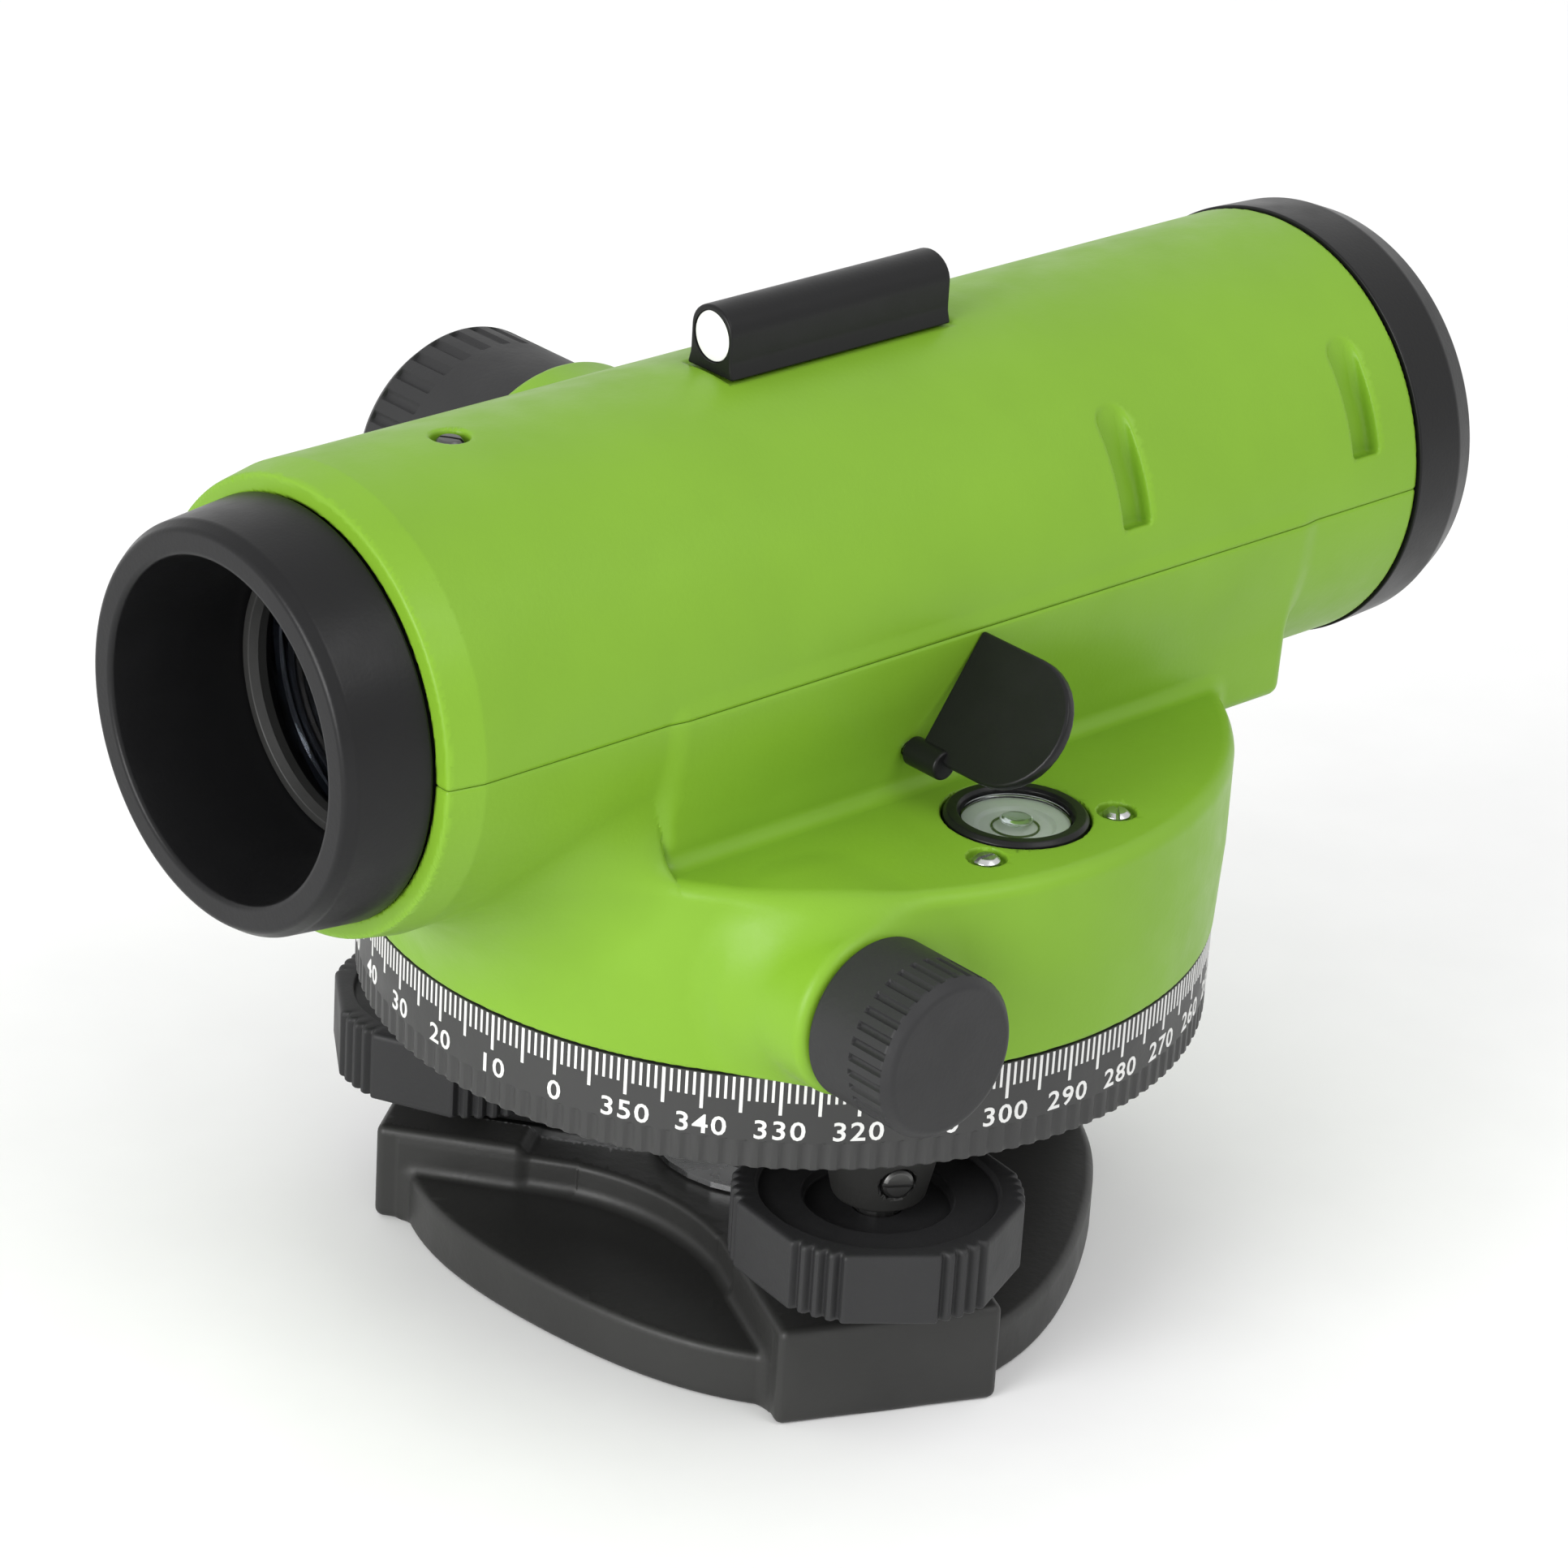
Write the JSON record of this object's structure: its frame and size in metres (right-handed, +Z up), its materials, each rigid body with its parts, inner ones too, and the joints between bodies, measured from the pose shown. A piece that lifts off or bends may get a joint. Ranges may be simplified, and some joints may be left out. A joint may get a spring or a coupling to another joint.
{
  "type": "automatic level",
  "caption": "Surveyor's automatic level: focusing telescope on a graduated circle and a tribrach with three foot screws, with a circular vial, its mirror and an endless tangent drive.",
  "frame": {"origin": "centre of the base plate's underside, on the vertical turning axis and in the mouth of the tripod screw's hole", "axes": "+Z up along the vertical axis, +Y along the line of sight towards the objective, +X the observer's right, where the focusing knob is"},
  "size_m": [0.1298, 0.1945, 0.1334],
  "materials": {
    "green_paint": "satin lime-green paint on an aluminium casting",
    "black_plastic": "satin black moulded plastic",
    "black_metal": "black anodised or painted aluminium",
    "steel": "bright turned steel",
    "brass": "turned brass",
    "glass": "clear polished glass",
    "mirror": "polished",
    "white_plastic": "milky translucent window"
  },
  "bodies": {
    "base": {"base_plate": "black_metal", "spring_plate": "steel", "spring_plate_screw_1": "steel", "spring_plate_screw_2": "steel", "spring_plate_screw_3": "steel"},
    "foot_1": {"foot_spindle_1": "steel", "foot_knob_1": "black_plastic"},
    "foot_2": {"foot_spindle_2": "steel", "foot_knob_2": "black_plastic"},
    "foot_3": {"foot_spindle_3": "steel", "foot_knob_3": "black_plastic"},
    "head": {"head_plate": "black_metal", "centre_spindle": "steel", "spindle_nut": "brass", "sleeve_set_screw_1": "steel", "sleeve_set_screw_2": "steel", "sleeve_set_screw_3": "steel"},
    "circle": {"graduated_circle": "black_plastic"},
    "telescope": {"lower_housing": "green_paint", "upper_housing": "green_paint", "bearing_bush": "brass", "sight_body": "black_plastic", "sight_lens": "white_plastic", "vial_cup": "black_plastic", "vial_glass": "glass", "vial_screw_1": "steel", "vial_screw_2": "steel", "plug_screw": "steel", "objective_ring": "black_plastic", "objective_lens": "glass", "lens_retainer": "black_metal", "reticle_cell": "black_metal", "reticle_glass": "glass", "focus_barrel": "black_metal", "compensator_frame": "black_metal", "front_prism": "glass", "rear_prism": "glass", "damper_magnet_1": "steel", "damper_magnet_2": "steel", "mirror_pin": "steel", "eyepiece_mount": "black_plastic"},
    "mirror": {"mirror_plate": "black_plastic", "mirror_glass": "mirror"},
    "dioptre": {"dioptre_ring": "black_plastic"},
    "eyepiece": {"eyepiece_cell": "black_metal", "eyepiece_lens": "glass"},
    "focus_drive": {"focus_shaft": "steel", "focus_knob": "black_plastic"},
    "focus_carriage": {"focus_cell": "black_metal", "focus_lens": "glass"},
    "pendulum": {"pendulum": "brass", "pendulum_prism": "glass"},
    "tangent_drive": {"tangent_shaft": "steel", "tangent_knob_left": "black_plastic", "tangent_knob_right": "black_plastic"},
    "worm_wheel": {"worm_wheel": "brass"}
  },
  "joints": [
    {"name": "foot_1_turn", "type": "hinge", "parent": "base", "child": "foot_1", "pos_m": [-0.03787, 0.01647, 0.0086], "axis": [0, 0, 1], "range_deg": [-720, 720]},
    {"name": "head_tilt", "type": "hinge", "parent": "base", "child": "head", "pos_m": [0.01894, -0.00823, 0.0086], "axis": [0.3987, 0.9171, 0], "range_deg": [-1.4, 1.4]},
    {"name": "foot_2_turn", "type": "hinge", "parent": "head", "child": "foot_2", "pos_m": [0.0332, 0.02457, 0.0086], "axis": [0, 0, 1], "range_deg": [-720, 720]},
    {"name": "foot_3_turn", "type": "hinge", "parent": "head", "child": "foot_3", "pos_m": [0.00468, -0.04104, 0.0086], "axis": [0, 0, 1], "range_deg": [-720, 720]},
    {"name": "circle_turn", "type": "hinge", "parent": "head", "child": "circle", "pos_m": [0, 0, 0.0385], "axis": [0, 0, 1], "continuous": true},
    {"name": "azimuth_turn", "type": "hinge", "parent": "head", "child": "telescope", "pos_m": [0, 0, 0.0513], "axis": [0, 0, 1], "continuous": true},
    {"name": "tangent_turn", "type": "hinge", "parent": "telescope", "child": "tangent_drive", "pos_m": [0, 0.0326, 0.0626], "axis": [1, 0, 0], "continuous": true},
    {"name": "worm_wheel_turn", "type": "hinge", "parent": "telescope", "child": "worm_wheel", "pos_m": [0, 0, 0.0626], "axis": [0, 0, 1], "continuous": true},
    {"name": "focus_turn", "type": "hinge", "parent": "telescope", "child": "focus_drive", "pos_m": [0.033, 0.0138, 0.0961], "axis": [1, 0, 0], "range_deg": [-286, 286]},
    {"name": "focus_slide", "type": "slide", "parent": "telescope", "child": "focus_carriage", "axis": [0, 1, 0], "range_m": [-0.0125, 0.0125]},
    {"name": "dioptre_turn", "type": "hinge", "parent": "telescope", "child": "dioptre", "pos_m": [0, -0.094, 0.0961], "axis": [0, 1, 0], "range_deg": [-150, 150]},
    {"name": "eyepiece_slide", "type": "slide", "parent": "telescope", "child": "eyepiece", "axis": [0, 1, 0], "range_m": [-0.0021, 0.0021]},
    {"name": "pendulum_swing", "type": "hinge", "parent": "telescope", "child": "pendulum", "pos_m": [0, -0.028, 0.1088], "axis": [1, 0, 0], "range_deg": [-1, 1]},
    {"name": "mirror_tilt", "type": "hinge", "parent": "telescope", "child": "mirror", "pos_m": [-0.0276, 0.0064, 0.0817], "axis": [1, 0, 0], "range_deg": [-40, 48]}
  ],
  "couplings": [
    {"joint": "head_tilt", "follows": "foot_1_turn", "ratio": -0.0019268},
    {"joint": "worm_wheel_turn", "follows": "tangent_turn", "ratio": 0.0055556},
    {"joint": "focus_slide", "follows": "focus_turn", "m_per_rad": 0.0025},
    {"joint": "eyepiece_slide", "follows": "dioptre_turn", "m_per_rad": 0.0008}
  ]
}
